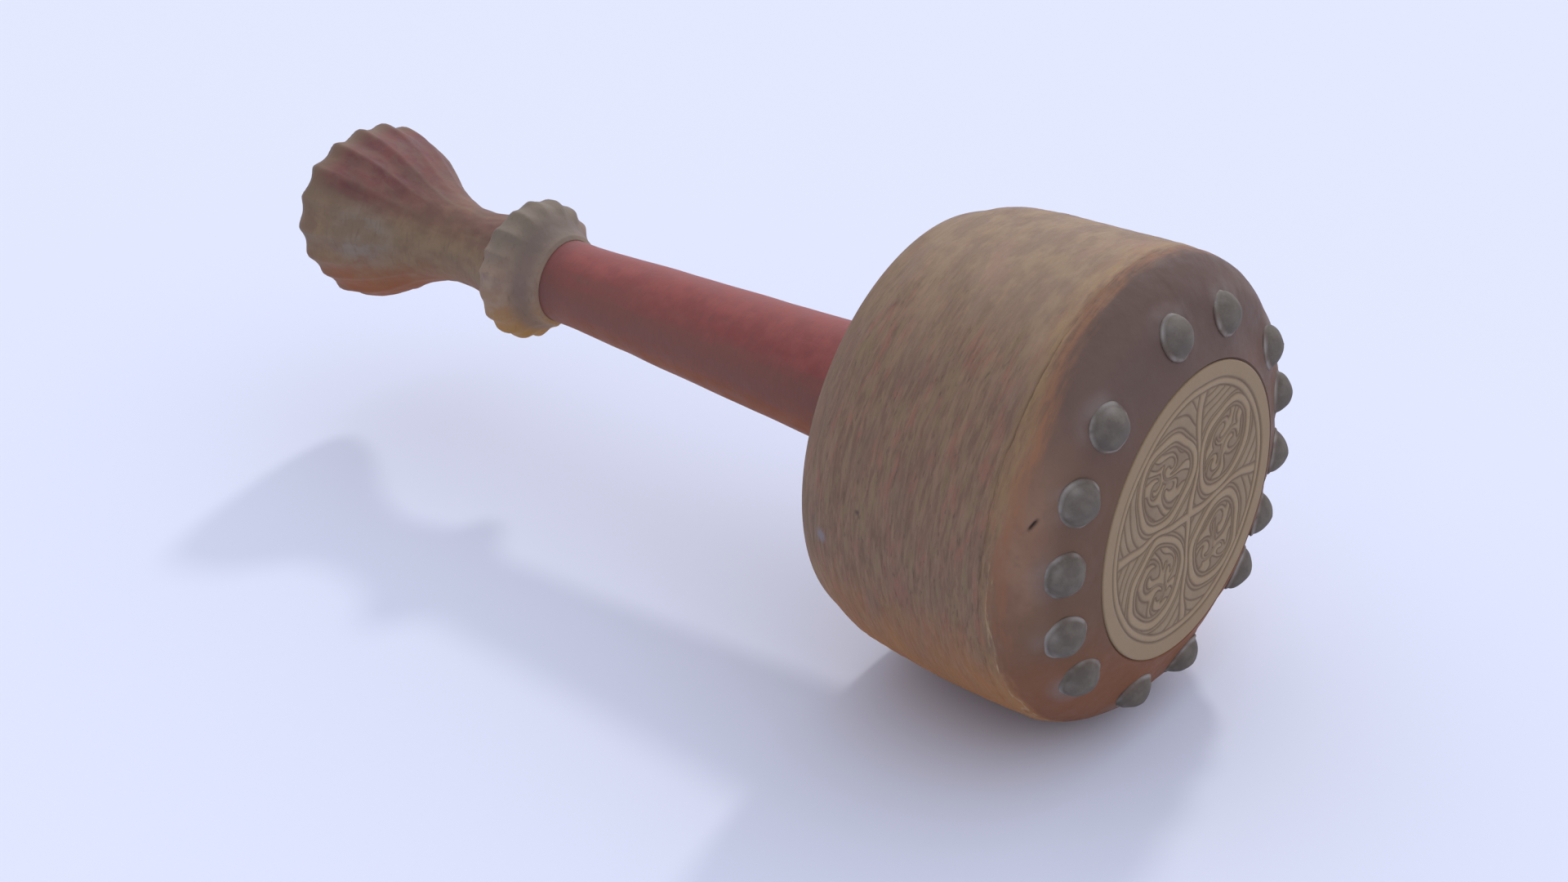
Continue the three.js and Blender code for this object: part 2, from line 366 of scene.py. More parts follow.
def wall_outline(node, step, start=None, end=None, choose=max, turns=48, softness=2):
    """A CAD node's outer wall from its face side to its pommel side, with the facets evened out."""
    low, high = span(node)
    start = low if start is None else start
    end = high if end is None else end
    stations = np.linspace(start, end, max(4, round((end - start) / step)))
    inside = np.clip(stations, low + 0.02 * MM, high - 0.02 * MM)
    radii = soften(wall(node, inside, choose, turns=turns), softness)
    return [[float(s), float(r)] for s, r in zip(stations, radii)]


def rise(value, low, high):
    """0 below low, 1 above high, and smooth between them."""
    share = np.clip((value - low) / (high - low), 0, 1)
    return share * share * (3 - 2 * share)


BOARD_START, BOARD_END = span("back_board")
HOOP_START, HOOP_END = span("shell_hoop")
HIDE_END = span("drum_skin")[1]
COLLAR_START, COLLAR_END = span("collar")
POMMEL_START, POMMEL_END = span("pommel")
TENON_START, TENON_END = span("grip")
TENON_STATIONS = [(BOARD_START + BOARD_END) / 2, (POMMEL_START + TENON_END) / 2]
TENON_RADIUS, REAR_TENON_RADIUS = wall("grip", TENON_STATIONS)
HOOP_BORE = wall("shell_hoop", [(HOOP_START + HOOP_END) / 2], outside=False)[0]
PATCH_DEPTH = span("ornament_patch")[1]
PATCH_RADIUS = (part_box("ornament_patch")[1].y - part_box("ornament_patch")[0].y) / 2


# ---- materials ----


def linear(*picked):
    """The light that a colour picked on a screen stands for."""
    parts = [value / 255 for value in picked]
    return [p / 12.92 if p <= 0.04045 else ((p + 0.055) / 1.055) ** 2.4 for p in parts] + [1.0]


# How far each further seed moves a noise along X, Y and Z, in sizes of its clouds.
SEED_SHIFT = (3.1, 1.7, 2.3)


class Look:
    """A node material put together step by step. Each step gives the output of its node."""

    def __init__(self, name):
        self.material = bpy.data.materials.new(name)
        self.material.use_nodes = True
        self.tree = self.material.node_tree
        self.shader = self.tree.nodes["Principled BSDF"]
        self.place = self.tree.nodes.new("ShaderNodeTexCoord").outputs["Object"]
        axes = self.node("ShaderNodeSeparateXYZ", {0: self.place})
        self.x, self.z = axes.outputs["X"], axes.outputs["Z"]

    def node(self, kind, inputs, **settings):
        """A new node in this material."""
        return add_node(self.tree, kind, inputs, **settings)

    def noise(self, size, detail, seed, rough=0.55, twist=0.0):
        """Cloudy values about 0.5. The size is in millimetres, for all axes or for each."""
        sizes = size if isinstance(size, tuple) else (size, size, size)
        shift = tuple(seed * part for part in SEED_SHIFT)
        scale = tuple(1 / (s * MM) for s in sizes)
        mapping = {"Vector": self.place, "Location": shift, "Scale": scale}
        mapped = self.node("ShaderNodeMapping", mapping).outputs[0]
        inputs = {"Vector": mapped, "Scale": 1.0, "Detail": detail}
        inputs.update({"Roughness": rough, "Distortion": twist})
        return self.node("ShaderNodeTexNoise", inputs).outputs["Fac"]

    def between(self, value, low, high, least=0.0, most=1.0):
        """Least up to low, most from high, and smooth between them. Low may be the larger."""
        inputs = {"Value": value, "From Min": low, "From Max": high}
        inputs.update({"To Min": least, "To Max": most})
        return self.node("ShaderNodeMapRange", inputs, interpolation_type="SMOOTHSTEP").outputs[0]

    def station(self, low, high):
        """0 up to the station low, 1 from the station high, and smooth between them."""
        return self.between(self.x, FACE_X - low, FACE_X - high)

    def sum(self, first, second, operation="ADD"):
        """The sum of two values, or the result of another operation on them."""
        return self.node("ShaderNodeMath", {0: first, 1: second}, operation=operation).outputs[0]

    def times(self, first, second):
        """One value times the other."""
        return self.sum(first, second, "MULTIPLY")

    def mix(self, share, *colours):
        """The first colour where the share is 0, and the second where it is 1.

        A colour comes from another step, or is picked on a screen: (red, green, blue), 0 to 255.
        """
        first, second = (linear(*c) if isinstance(c, tuple) else c for c in colours)
        inputs = {0: share, 6: first, 7: second}
        return self.node("ShaderNodeMix", inputs, data_type="RGBA").outputs[2]

    def tint(self, colour, value, low, high, share, shade):
        """A colour that takes up a share of a shade as a value goes from low to high."""
        return self.mix(self.between(value, low, high, 0, share), colour, shade)

    def stored(self, name):
        """A mark on the piece."""
        return self.node("ShaderNodeAttribute", {}, attribute_name=name).outputs["Fac"]

    def bump(self, height, depth, under=None):
        """Fine relief, as deep as the depth where the height goes from 0 to 1."""
        inputs = {"Height": height, "Distance": depth, "Strength": 1.0}
        if under is not None:
            inputs["Normal"] = under
        return self.node("ShaderNodeBump", inputs).outputs[0]

    def band(self, value, low, high, soft):
        """1 between low and high, and 0 outside, with soft ends."""
        start = self.between(value, low - soft, low + soft)
        return self.times(start, self.between(value, high + soft, high - soft))

    def wavering(self, value, noise, amount):
        """A value moved up and down by a noise, by about an amount."""
        return self.sum(value, self.times(self.sum(noise, -0.5), 2 * amount))

    def spot(self, station, angle, radius, size):
        """1 at a place on a wall of the drum, and 0 further from it than a size."""
        turn = math.radians(angle)
        place = (FACE_X - station, radius * math.sin(turn), AXIS_Z + radius * math.cos(turn))
        apart = self.node("ShaderNodeVectorMath", {0: self.place, 1: place}, operation="DISTANCE")
        return self.between(apart.outputs["Value"], size, 0.3 * size)

    def finish(self, colour, noise, rough, normal, shine=0.3):
        """The finished material. Its roughness goes between two values with a noise."""
        links = self.tree.links
        links.new(colour, self.shader.inputs["Base Color"])
        links.new(self.between(noise, 0.3, 0.7, *rough), self.shader.inputs["Roughness"])
        links.new(normal, self.shader.inputs["Normal"])
        self.shader.inputs["Specular IOR Level"].default_value = shine
        return self.material


# The border between hide and wood has this station at the height of the axis. It slopes
# backwards towards the top, steps nearer the face on the upper half, and bends back at the top.
BORDER_STATION = 17.0 * MM
HIDE_LEAN = 0.045
BORDER_STEP = 2.8 * MM
BORDER_RISE = 3.8 * MM

# Spots: station, degrees from the top towards +Y, distance from the axis, and size.
DARK_KNOT = (64.9 * MM, 276.2, 69 * MM, 1.2 * MM)
GREY_CHIP = (78.9 * MM, 264.8, 67 * MM, 3.0 * MM)
POMMEL_BLOOM = (306 * MM, 278, 24 * MM, 15 * MM)

# Where a mark starts and where it is complete, as stations.
# The first two marks are painted shade on the grip, next to the head and next to the collar.
GRIP_HEAD_SHADE = (116 * MM, 94 * MM)
GRIP_COLLAR_SHADE = (222 * MM, 238 * MM)
POMMEL_WEAR = (318 * MM, 326 * MM)


def wood_colour(look, streaks, fine):
    """Weathered bentwood: short faint streaks round the barrel, paler above, a painted warm glow
    below, and a painted highlight along the rear edge.
    """
    patches = look.noise((9, 20, 20), 3, 3)
    blots = look.noise((6, 11, 11), 4, 8)
    drawn = look.noise((2.4, 11, 11), 4, 7, twist=0.4)
    flecks = look.noise((0.8, 4, 4), 3, 4)
    above = look.wavering(look.z, patches, 15 * MM)
    colour = look.tint((119, 95, 78), streaks, 0.3, 0.7, 1, (144, 116, 93))
    colour = look.tint(colour, drawn, 0.52, 0.68, 0.6, (149, 104, 87))
    colour = look.tint(colour, drawn, 0.48, 0.34, 0.6, (135, 116, 87))
    colour = look.tint(colour, patches, 0.5, 0.7, 0.4, (117, 96, 82))
    colour = look.tint(colour, flecks, 0.6, 0.72, 0.55, (91, 72, 61))
    colour = look.tint(colour, fine, 0.58, 0.8, 0.3, (160, 137, 113))
    tan = look.tint((141, 118, 98), blots, 0.4, 0.62, 1, (155, 131, 104))
    tan = look.tint(tan, patches, 0.55, 0.7, 0.5, (158, 126, 108))
    colour = look.tint(colour, above, up(48), up(68), 0.88, tan)
    # Painted warm glow: the underside is painted orange, as if lit warmly from below.
    colour = look.tint(colour, above, up(-5), up(-58), 0.85, (178, 120, 67))
    # Painted highlight: the rear edge is painted paler, standing in for light on its rounded edge.
    rear_edge_highlight = look.times(look.station(HOOP_END - 7 * MM, HOOP_END), 0.5)
    colour = look.mix(rear_edge_highlight, colour, (140, 118, 98))
    colour = look.mix(look.spot(*DARK_KNOT), colour, (92, 74, 66))
    return look.mix(look.spot(*GREY_CHIP), colour, (134, 124, 124))


def hide_colour(look, mottle):
    """Dark hide, purplish above, partly painted shade near the patch, and a painted warm glow
    below.
    """
    patches = look.noise(15, 4, 11)
    height = look.wavering(look.z, patches, 10 * MM)
    colour = look.tint((134, 103, 84), patches, 0.38, 0.62, 1, (142, 111, 90))
    colour = look.tint(colour, mottle, 0.52, 0.75, 0.4, (116, 91, 78))
    # Darker near the patch: partly the hide's own colour, partly painted shade on its flatter slope
    # there.
    colour = look.mix(look.station(12 * MM, 5 * MM), colour, (111, 86, 72))
    colour = look.tint(colour, height, up(18), up(52), 0.85, (99, 81, 74))
    colour = look.tint(colour, height, up(54), up(68), 0.4, (83, 68, 62))
    dull = look.times(look.band(height, up(-34), up(-2), 9 * MM), 0.7)
    colour = look.mix(dull, colour, (112, 85, 67))
    # Painted warm glow: the hide's underside is painted redder, as if lit warmly from below.
    return look.tint(colour, height, up(-8), up(-46), 0.85, (128, 82, 55))


def border_place(look, round_edge):
    """How far behind the face a point is, counted so that the border lies at one number."""
    wide = look.noise((8, 16, 16), 3, 16)
    leaning = look.sum(look.x, look.times(look.z, HIDE_LEAN))
    back = look.sum(FACE_X + HIDE_LEAN * AXIS_Z, leaning, "SUBTRACT")
    top = look.between(look.z, up(42), up(70), 0, BORDER_RISE)
    upper = look.between(look.z, up(8), up(34), 0, BORDER_STEP)
    place = look.sum(look.sum(back, top, "SUBTRACT"), upper)
    return look.wavering(look.wavering(place, round_edge, 2.6 * MM), wide, 2.0 * MM)


def border_colour(look, hide, wood):
    """The stained border where the hide gives way to the wood: rust, then khaki and cream."""
    round_edge = look.noise((1.5, 12, 12), 4, 14, twist=0.4)
    breaks = look.noise((1.1, 7, 7), 4, 15, twist=0.5)
    place = border_place(look, round_edge)
    edge = BORDER_STATION
    colour = look.mix(look.between(place, edge, edge + 4 * MM), hide, wood)
    rust = look.band(place, edge - 1.4 * MM, edge + 1.6 * MM, 2.2 * MM)
    low = look.between(look.z, up(-6), up(-30), 1.0, 0.15)
    faded = look.times(low, look.between(look.z, up(40), up(62), 0.9, 0.6))
    rust = look.times(look.times(rust, faded), look.between(breaks, 0.35, 0.6, 0.3, 0.9))
    colour = look.mix(rust, colour, (146, 100, 75))
    glow = look.band(place, edge - 1 * MM, edge + 7 * MM, 3 * MM)
    glow = look.times(glow, look.between(look.z, up(8), up(34), 0, 0.3))
    glow = look.times(glow, look.between(breaks, 0.35, 0.6, 0.5, 1))
    colour = look.mix(glow, colour, (168, 130, 92))
    khaki = look.band(place, edge + 2.6 * MM, edge + 5.5 * MM, 1.6 * MM)
    khaki = look.times(khaki, look.between(breaks, 0.4, 0.62, 0.05, 0.35))
    colour = look.mix(khaki, colour, (154, 130, 92))
    cream = look.band(place, edge + 2.7 * MM, edge + 3.1 * MM, 0.4 * MM)
    low_side = look.band(look.z, up(-62), up(8), 8 * MM)
    cream = look.times(look.times(cream, low_side), look.between(breaks, 0.38, 0.55, 0.2, 0.8))
    return look.mix(cream, colour, (184, 160, 124))


def head_noises(look):
    """The streaks and fine lines of the wood, and the mottling of the hide."""
    streaks = look.noise((1.3, 9, 9), 4, 1, rough=0.65, twist=0.5)
    fine = look.noise((0.4, 2.6, 2.6), 3, 2)
    mottle = look.noise(4.5, 4, 12)
    return streaks, fine, mottle


def head_colour(look, streaks, fine, mottle):
    """The colour of the head, which runs on across the edge between barrel and hide."""
    return border_colour(look, hide_colour(look, mottle), wood_colour(look, streaks, fine))


def hoop_look():
    """The barrel: streaked satin wood."""
    look = Look("hoop_look")
    streaks, fine, mottle = head_noises(look)
    colour = head_colour(look, streaks, fine, mottle)
    normal = look.bump(fine, 0.1 * MM, look.bump(streaks, 0.35 * MM))
    return look.finish(colour, streaks, (0.8, 0.65), normal)


def board_look():
    """The rear board: flat-sawn grain, paler above, with a painted warm glow below like the barrel.
    """
    look = Look("board_look")
    grain = look.noise((4, 2.2, 40), 4, 5, twist=1.2)
    patches = look.noise(22, 3, 6)
    above = look.wavering(look.z, patches, 22 * MM)
    colour = look.tint((118, 94, 78), grain, 0.38, 0.62, 1, (140, 114, 93))
    colour = look.tint(colour, patches, 0.45, 0.7, 0.5, (134, 102, 84))
    colour = look.tint(colour, above, up(40), up(62), 0.6, (150, 126, 102))
    # Painted warm glow on the board's underside.
    colour = look.tint(colour, above, up(-8), up(-58), 0.75, (176, 120, 76))
    return look.finish(colour, grain, (0.8, 0.66), look.bump(grain, 0.3 * MM))


def hide_look():
    """The hide: mottled and fine-grained, with a painted pale glow down the slope from each nail,
    and a dark nick.
    """
    look = Look("hide_look")
    streaks, fine, mottle = head_noises(look)
    colour = head_colour(look, streaks, fine, mottle)
    grain = look.noise(0.8, 3, 13)
    # Painted pale glow round the nails, from the halo mark.
    colour = look.mix(look.stored("halo"), colour, (136, 124, 118))
    colour = look.mix(look.stored("nick"), colour, (34, 28, 26))
    normal = look.bump(grain, 0.05 * MM, look.bump(mottle, 0.25 * MM))
    return look.finish(colour, mottle, (0.55, 0.7), normal, shine=0.15)


def patch_look():
    """Pale rawhide with dark stain left in the tooled grooves."""
    look = Look("patch_look")
    stain = look.noise(9, 4, 21)
    grain = look.noise(0.8, 3, 22)
    colour = look.tint((131, 111, 88), stain, 0.35, 0.68, 1, (141, 120, 94))
    colour = look.mix(look.times(look.stored("tone"), 0.8), colour, (156, 134, 105))
    colour = look.mix(look.stored("rim"), colour, (146, 124, 96))
    colour = look.tint(colour, grain, 0.5, 0.75, 0.2, (120, 102, 90))
    colour = look.mix(look.times(look.stored("groove"), 0.7), colour, (100, 80, 64))
    return look.finish(colour, stain, (0.75, 0.65), look.bump(grain, 0.05 * MM))


def stud_look():
    """Dull grey iron with pale rims worn by rubbing, a painted highlight on the dome, and a foot
    painted lighter against its shade.
    """
    look = Look("stud_look")
    tarnish = look.noise(4, 4, 31)
    pits = look.noise(0.7, 3, 32)
    colour = look.tint((100, 92, 84), tarnish, 0.38, 0.64, 1, (111, 104, 94))
    colour = look.tint(colour, pits, 0.55, 0.75, 0.35, (88, 82, 76))
    # Painted light: the foot of each stud is painted lighter and warmer, against the shade at its
    # edge.
    colour = look.mix(look.times(look.stored("foot_light"), 0.6), colour, (112, 92, 80))
    # Pale worn rims, and a painted highlight on the dome.
    colour = look.mix(look.times(look.stored("rubbed_and_highlight"), 0.6), colour, (166, 160, 154))
    return look.finish(colour, tarnish, (0.7, 0.82), look.bump(pits, 0.1 * MM), shine=0.15)


def grip_look():
    """Red paint on turned wood: brown underneath, a painted warm glow at the bottom, and painted
    shade near the head and near the collar.
    """
    look = Look("grip_look")
    mottle = look.noise(7, 4, 42)
    hatch = look.noise((0.6, 4, 4), 3, 43)
    drawn = look.noise((26, 4, 4), 3, 41)
    under = look.wavering(look.z, drawn, 6 * MM)
    colour = look.tint((135, 68, 63), mottle, 0.35, 0.65, 1, (147, 78, 72))
    colour = look.tint(colour, under, up(14), up(5), 0.9, (124, 80, 69))
    # Painted warm glow on the grip's underside.
    colour = look.tint(colour, under, up(2), up(-12), 0.95, (143, 77, 32))
    # Painted shade on the grip next to the collar.
    colour = look.mix(look.times(look.station(*GRIP_COLLAR_SHADE), 0.5), colour, (104, 70, 68))
    # Painted shade on the grip's lower side next to the head.
    head_shade = look.times(look.station(*GRIP_HEAD_SHADE), look.between(look.z, up(14), up(0), 0, 0.7))
    colour = look.mix(head_shade, colour, (98, 78, 70))
    colour = look.tint(colour, hatch, 0.5, 0.75, 0.4, (106, 76, 70))
    normal = look.bump(mottle, 0.25 * MM, look.bump(hatch, 0.06 * MM))
    return look.finish(colour, mottle, (0.5, 0.65), normal)


def collar_look():
    """Bare grey-brown wood, greener above, with painted shade in its dished front and a painted
    warm glow below.
    """
    look = Look("collar_look")
    mottle = look.noise(5, 4, 51)
    hatch = look.noise((1.2, 1.2, 5), 3, 52)
    tilted = look.wavering(look.z, mottle, 8 * MM)
    colour = look.tint((142, 119, 103), mottle, 0.36, 0.64, 1, (156, 134, 114))
    colour = look.tint(colour, tilted, up(5), up(18), 0.8, (116, 106, 92))
    # Painted warm glow on the collar's underside.
    colour = look.tint(colour, tilted, up(4), up(-19), 0.82, (170, 123, 54))
    # Painted shade in the dished front of the collar.
    colour = look.mix(look.times(look.stored("dish"), 0.6), colour, (108, 92, 86))
    colour = look.tint(colour, hatch, 0.55, 0.75, 0.35, (102, 86, 76))
    return look.finish(colour, mottle, (0.65, 0.78), look.bump(hatch, 0.12 * MM))


def pommel_look():
    """Bare brown-grey wood, streaked with red paint on its upper side, with a painted warm glow
    underneath and a painted highlight along the flute ridges.
    """
    look = Look("pommel_look")
    mottle = look.noise(8, 4, 61)
    smears = look.noise((9, 5, 5), 4, 62, twist=0.6)
    hatch = look.noise((0.8, 5, 5), 3, 64)
    tilted = look.wavering(look.z, mottle, 9 * MM)
    colour = look.tint((127, 105, 82), mottle, 0.36, 0.64, 1, (140, 117, 91))
    colour = look.tint(colour, smears, 0.5, 0.7, 0.5, (124, 96, 80))
    colour = look.tint(colour, look.z, up(6), up(24), 0.75, (107, 89, 75))
    red = look.tint((105, 60, 59), mottle, 0.4, 0.62, 1, (119, 71, 67))
    paint = look.times(look.stored("paint"), look.between(smears, 0.64, 0.44, 0.6, 0.95))
    paint = look.times(paint, look.between(look.z, up(4), up(24), 0.3, 1))
    colour = look.mix(paint, colour, red)
    bloom = look.times(look.spot(*POMMEL_BLOOM), look.between(mottle, 0.35, 0.6, 0.1, 0.55))
    colour = look.mix(bloom, colour, (136, 128, 120))
    # Painted warm glow on the pommel's underside.
    colour = look.tint(colour, tilted, up(1), up(-20), 0.9, (144, 80, 37))
    worn = look.times(look.station(*POMMEL_WEAR), look.between(look.z, up(8), up(24), 0.35, 0.8))
    colour = look.mix(worn, colour, (120, 100, 80))
    # Painted highlight along the flute ridges.
    colour = look.mix(look.times(look.stored("ridge"), 0.14), colour, (150, 128, 110))
    colour = look.tint(colour, hatch, 0.52, 0.75, 0.35, (106, 86, 74))
    normal = look.bump(mottle, 0.35 * MM, look.bump(hatch, 0.1 * MM))
    return look.finish(colour, mottle, (0.6, 0.75), normal)


def inner_wood_look():
    """Bare pale wood of the pieces inside the head."""
    look = Look("inner_wood_look")
    grain = look.noise((2, 14, 2), 4, 71, twist=0.8)
    colour = look.tint((150, 118, 84), grain, 0.35, 0.65, 1, (190, 158, 118))
    return look.finish(colour, grain, (0.8, 0.68), look.bump(grain, 0.2 * MM))


# ---- pieces ----

# How far the barrel's rear half and the pommel's rim stand out of round: degrees from the top
# towards +Y, and millimetres outwards.
HOOP_SHAPE = (
    [0, 20, 60, 200, 240, 290, 315, 335, 350],
    [-0.8, -0.2, 0, 0, -0.4, -0.2, -0.4, -1.1, -1.2],
)
RIM_SHAPE = (
    [0, 30, 60, 120, 180, 205, 232, 255, 280, 305, 325, 345],
    [-0.5, 0, 0.3, 0, 0.2, 0.2, -1.4, 0.3, 2.2, 2.4, 1.6, 0.2],
)


def out_of_round(surface, shape):
    """How far a shape stands out at each point of a surface."""
    return np.interp(np.degrees(surface.angle), *shape, period=360) * MM


def barrel_hoop():
    """The barrel's wall, finely streaked round it, and tucked in under the hide's lap."""
    walls = spaced(wall_outline("shell_hoop", 1.0 * MM), 0.42 * MM)
    outline = [[HOOP_START, HOOP_BORE], *walls, [HOOP_END, HOOP_BORE], [HOOP_START, HOOP_BORE]]
    surface = Turned(outline, HEAD_SEGMENTS)
    points = surface.points()
    lumps = Lumps(101)
    outer = rise(surface.radius, HOOP_BORE + 1 * MM, HOOP_BORE + 3 * MM)
    relief = 0.35 * MM * lumps.rough(points, 24 * MM, 2) - 0.3 * MM
    relief += 0.1 * MM * lumps.rough(points, (1.6 * MM, 8 * MM, 8 * MM), 3)
    relief *= rise(HOOP_END - surface.station, 0, 6 * MM)
    rear = surface.past(HOOP_END - 45 * MM, HOOP_END - 8 * MM)
    relief += rear * out_of_round(surface, HOOP_SHAPE)
    tucked = 0.5 * MM * (1 - surface.past(HOOP_START, HOOP_START + 2.5 * MM))
    surface.push(outer * (relief - tucked))
    surface.make("barrel_hoop", hoop_look(), "head_wood", "shell_hoop")


def rear_board():
    """The flat rear board, chamfered at its rim, with faint rings left by turning."""
    hole = TENON_RADIUS + GAP
    rim = HOOP_BORE - GAP
    chamfer = rim - wall("back_board", [BOARD_END - 0.02 * MM])[0]
    rounded = [[BOARD_END - chamfer, rim], [BOARD_END - 0.3 * chamfer, rim - 0.3 * chamfer]]
    back = spaced([*rounded, [BOARD_END, rim - chamfer], [BOARD_END, hole]], 0.6 * MM)
    outline = [[BOARD_START, hole], [BOARD_START, rim], *back, [BOARD_START, hole]]
    surface = Turned(outline, HEAD_SEGMENTS // 2)
    shown = surface.past(BOARD_END - chamfer, BOARD_END)
    shown *= rise(surface.radius, hole, hole + 2 * MM)
    rings = 0.06 * MM * np.sin(surface.radius * 2 * math.pi / (2.3 * MM))
    lumps = Lumps(102).rough(surface.points(), (20 * MM, 14 * MM, 30 * MM), 3)
    relief = 0.25 * MM * lumps - 0.35 * MM + rings
    surface.push(shown * relief)
    surface.make("rear_board", board_look(), "head_wood", "back_board")


# How far the head's slope goes along X for each unit away from the axis.
HEAD_SLOPE = -0.35


class Nail:
    """Where a CAD stud stands: its axis, radius, foot and height, and the way down the slope."""

    def __init__(self, node):
        points = np.array([v.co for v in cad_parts[node].data.vertices])
        tip = points[np.linalg.norm(points - points.mean(0), axis=1).argmax()]
        top = points[np.linalg.norm(points - tip, axis=1).argmax()]
        self.axis = (top - tip) / np.linalg.norm(top - tip)
        along = (points - tip) @ self.axis
        away = np.linalg.norm(points - tip - along[:, None] * self.axis, axis=1)
        self.radius = away.max()
        self.foot = tip + self.axis * along[away.argmax()]
        self.height = np.linalg.norm(top - self.foot)
        away = self.foot[1:] - [0, AXIS_Z]
        self.down = np.array([HEAD_SLOPE, *(away / np.linalg.norm(away))])


STUD_NODES = sorted(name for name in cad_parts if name.startswith("stud_"))
NAILS = {name: Nail(name) for name in STUD_NODES}

# The hide stands fuller on the upper far side of the shoulder: round this angle from the top,
# over this width, both in degrees.
FULL_ANGLE = 42
FULL_WIDTH = 30
FULL_HEIGHT = 0.9 * MM

# How far the hide laps over the barrel, and how thick it is behind the slope.
HIDE_LAP = 1.5 * MM
HIDE_THICKNESS = 1.4 * MM


def hide_outline():
    """The hide's outline, and for each of its points 1 on the outer wall and 0 elsewhere."""
    front = span("drum_skin")[0]
    slope = wall_outline("drum_skin", 0.7 * MM, start=front)
    slope[0] = [front, PATCH_RADIUS + 0.7 * MM]
    edge_station, edge_radius = slope[-1]
    lap_station = edge_station + HIDE_LAP
    lap_radius = wall("shell_hoop", [lap_station])[0] - 0.35 * MM
    slope.append([lap_station, lap_radius])
    under = [[lap_station, lap_radius - 0.2 * MM], [edge_station, edge_radius - 0.4 * MM]]
    under += [[s + 0.7 * HIDE_THICKNESS, r - 0.75 * HIDE_THICKNESS] for s, r in slope[-6::-3]]
    recess = [[PATCH_DEPTH, 0], [PATCH_DEPTH, PATCH_RADIUS + 0.25 * MM]]
    walls = spaced(slope, 0.34 * MM)
    outline = [*recess, *walls, *under, [under[-1][0], 0]]
    outer = np.zeros((len(outline), 1))
    outer[len(recess) : len(recess) + len(walls)] = 1
    return outline, outer


def hide_cover():
    """The hide: puckered up round every stud, and lapped over the barrel's front edge."""
    outline, outer = hide_outline()
    surface = Turned(outline, HEAD_SEGMENTS)
    points = surface.points()
    lumps = Lumps(103)
    relief = 0.2 * MM * lumps.rough(points, 19 * MM, 2) + 0.06 * MM * lumps.rough(points, 4 * MM, 3)
    full = np.exp(-(((np.degrees(surface.angle) - FULL_ANGLE) / FULL_WIDTH) ** 2))
    full *= surface.past(2 * MM, 8 * MM) * surface.past(21 * MM, 14 * MM)
    relief += FULL_HEIGHT * full
    # The halo mark is painted light: the hide is painted paler just down the slope from each nail.
    halo = np.zeros(surface.radius.shape)
    for nail in NAILS.values():
        apart = points - nail.foot
        away = np.linalg.norm(apart, axis=-1)
        relief += 0.55 * MM * rise(away, nail.radius + 4.5 * MM, nail.radius - 0.5 * MM)
        aside = (apart @ nail.down) / np.maximum(away, 1e-6)
        nail_glow = rise(away, nail.radius + 6 * MM, nail.radius - 1 * MM) * rise(aside, 0.2, 0.95)
        halo = np.maximum(halo, nail_glow)
    halo = 0.55 * halo * rise(lumps.rough(points, 7 * MM, 2), -0.7, 0.5)
    nick = nick_mark(surface)
    relief -= 0.6 * MM * nick
    held = rise(surface.radius, PATCH_RADIUS + 0.5 * MM, PATCH_RADIUS + 4 * MM)
    thin = 1 - 0.8 * surface.past(HIDE_END - 1 * MM, HIDE_END + HIDE_LAP)
    surface.push(outer * relief * held * thin)
    trimmed = surface.past(HIDE_END - 5 * MM, HIDE_END)
    ragged = 0.5 * MM * lumps.rough(around(surface.angle[0]), 0.12, 4)
    surface.station = surface.station + trimmed * ragged
    marks = {"nick": outer * nick, "halo": outer * halo}
    surface.make("hide_cover", hide_look(), "hide", "drum_skin", **marks)


# A small cut in the hide: where it is, its size, and how it is turned.
NICK_ANGLE = math.radians(288.3)
NICK_STATION = 11.7 * MM
NICK_LENGTH = 3.6 * MM
NICK_WIDTH = 0.4 * MM
NICK_SLANT = math.radians(112)


def nick_mark(surface):
    """1 in the small cut on the near side of the hide, 0 away from it."""
    along = surface.station - NICK_STATION
    aside = (surface.angle - NICK_ANGLE) * surface.radius
    lengthwise = along * math.cos(NICK_SLANT) + aside * math.sin(NICK_SLANT)
    across = aside * math.cos(NICK_SLANT) - along * math.sin(NICK_SLANT)
    return np.exp(-((lengthwise / (NICK_LENGTH / 2)) ** 4)) * np.exp(-((across / NICK_WIDTH) ** 2))


# The ornament is a generic one: four ringed roundels filled with curling ribbons, two ribbons
# that cross between them, and lines that flow round them. Its measures are in millimetres.
FIELD_RADIUS = 36.8
BORDER_WIDTH = 2.3
ROUNDELS = [(-13.6, 15.6, 15.5), (17.2, 14.0, 14.1), (-14.0, -16.6, 14.5), (16.4, -16.0, 13.9)]
RING_WIDTHS = (0, 2.6, 3.8)
CURL_OFFSET = 5.2
CURL_REACH = 3.6
CURL_TURN = 3.7
RIBBON_PITCH = 3.2
LINE_PITCH = 3.0
LINE_WIDTH = 0.32
DEEP_WIDTH = 0.34
CROSS_HALF_WIDTH = 1.0


def groove(distance, width=LINE_WIDTH):
    """1 on a groove's centre line, and 0 away from it."""
    return np.exp(-((distance / width) ** 2))


def repeated(value, pitch):
    """Distance to the nearest of evenly spaced lines, the first half a pitch from 0."""
    return np.abs((value / pitch) % 1 - 0.5) * pitch


